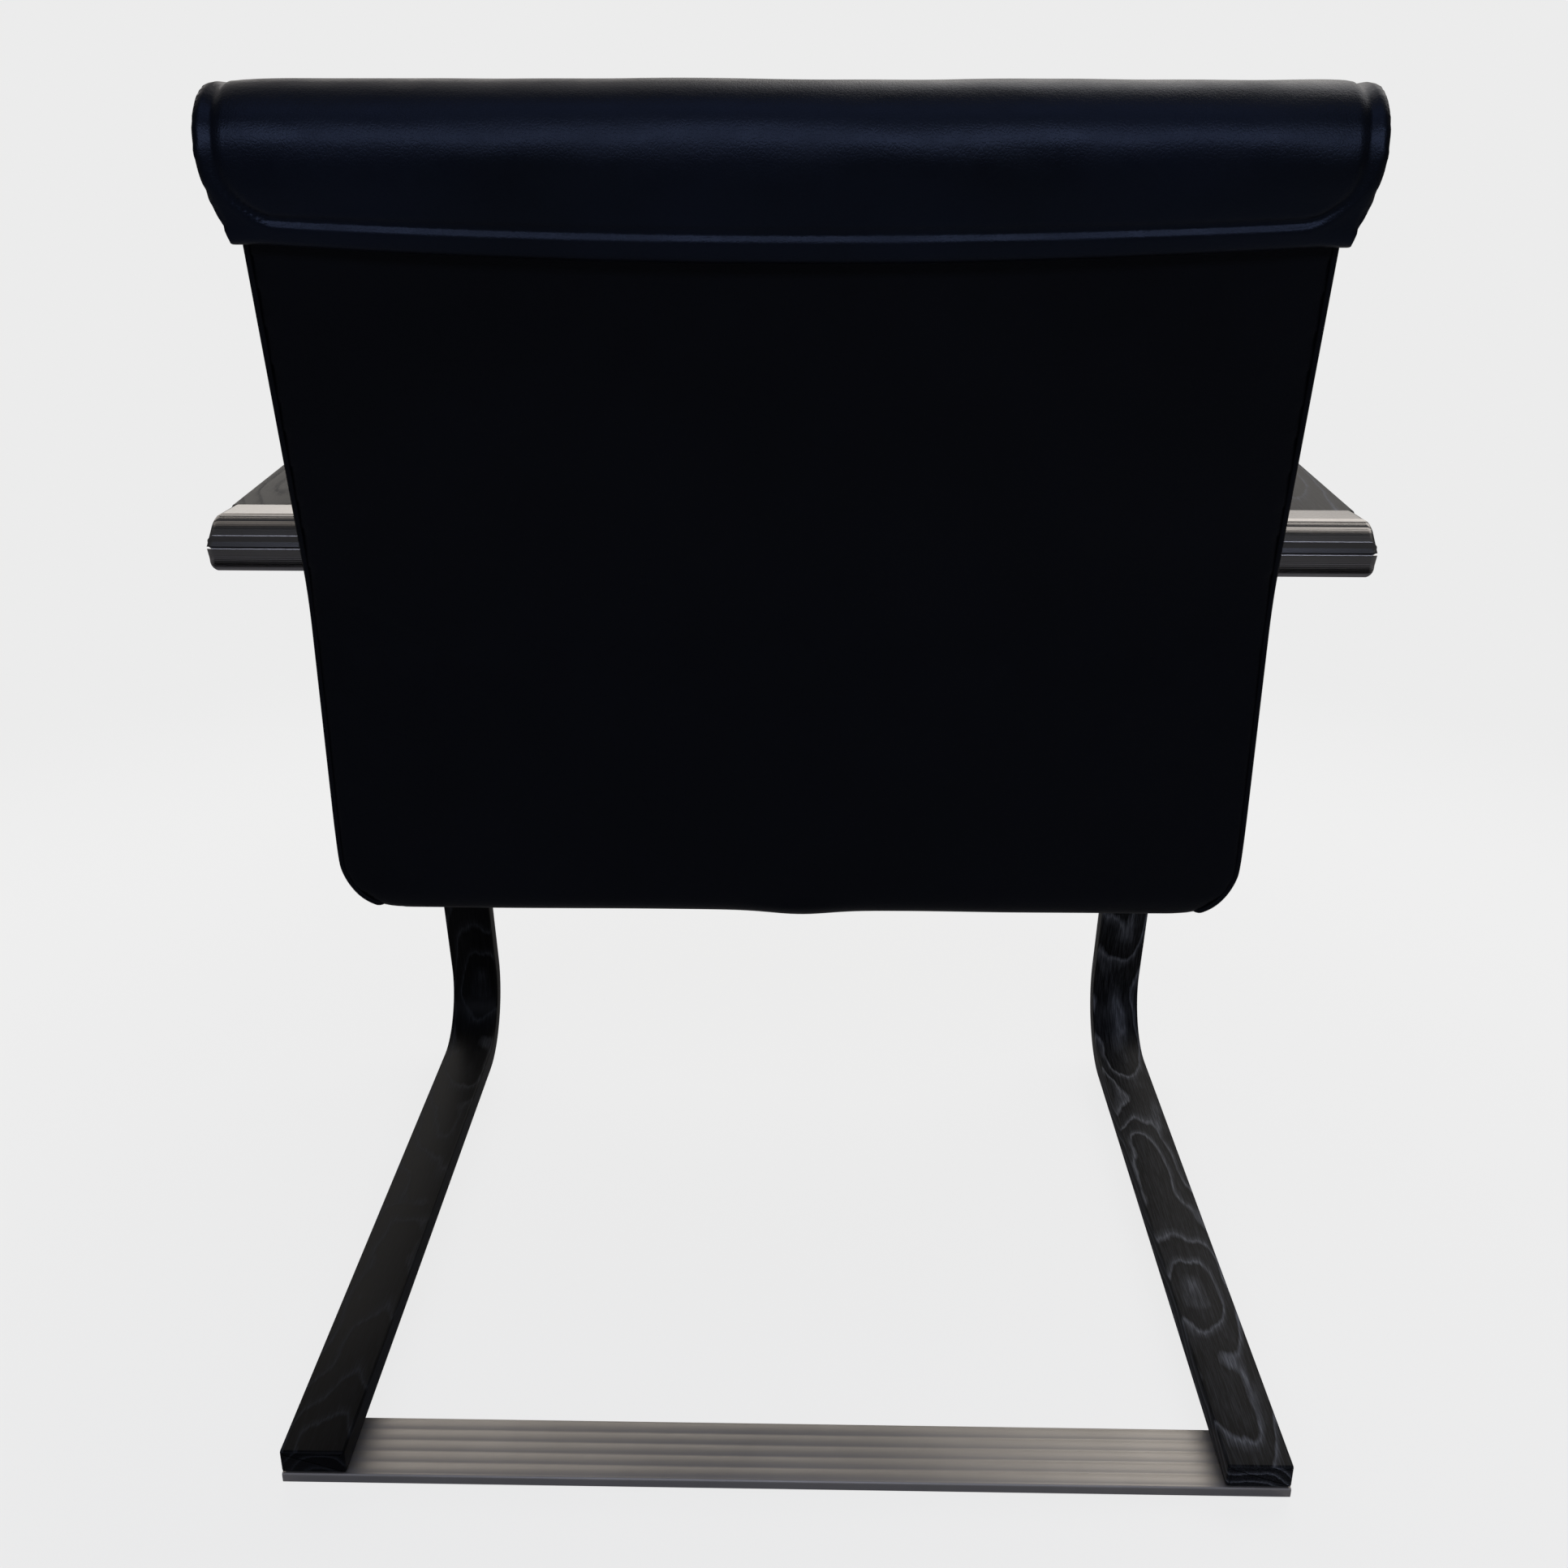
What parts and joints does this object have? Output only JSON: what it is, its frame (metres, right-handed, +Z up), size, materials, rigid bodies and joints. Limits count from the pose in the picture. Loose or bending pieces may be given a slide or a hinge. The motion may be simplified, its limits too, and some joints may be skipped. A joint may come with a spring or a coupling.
{
  "type": "cantilever dining chair",
  "caption": "Cantilever armchair with bent wooden side frames, metal cross rails and a padded seat and back with a headrest.",
  "frame": {"origin": "on the floor, under the middle of the chair's bounding box", "axes": "+Z up, -Y the way the sitter faces, +X towards the sitter's left arm, across the chair"},
  "size_m": [0.68, 0.6, 0.873],
  "materials": {
    "ash": "black stain, satin lacquer, open grain",
    "plywood": "raw moulded birch plywood",
    "rail_aluminium": "satin anodised, warm grey",
    "base_aluminium": "satin anodised, fine soft ribs",
    "leather": "black smooth leather, low sheen",
    "steel": "zinc plated",
    "black_steel": "matt black powder coat",
    "foot_plastic": "matt black moulded plastic",
    "hook_and_loop": "woven hook-and-loop tape"
  },
  "bodies": {
    "root": {"side_frame_left": "ash", "side_frame_right": "ash", "base_rail": "base_aluminium", "base_strip": "foot_plastic", "front_glides": "foot_plastic", "runner_bolts": "steel", "arm_rail": "rail_aluminium", "arm_tongues": "steel", "set_screws": "steel", "seat_rail": "base_aluminium", "upright_bolts": "steel", "seat_brackets": "black_steel", "bracket_bolts": "steel", "seat_bolts": "steel", "seat_spacers": "steel", "seat_sleeves": "steel", "back_bolts": "steel", "back_sleeves": "steel", "shell_core": "plywood", "back_cover": "leather", "seat_pan": "leather", "cover_clips": "foot_plastic", "seat_cushion": "leather", "back_cushion": "leather", "headrest_hood": "leather", "headrest_pad": "leather", "headrest_strip": "hook_and_loop"}
  },
  "joints": []
}
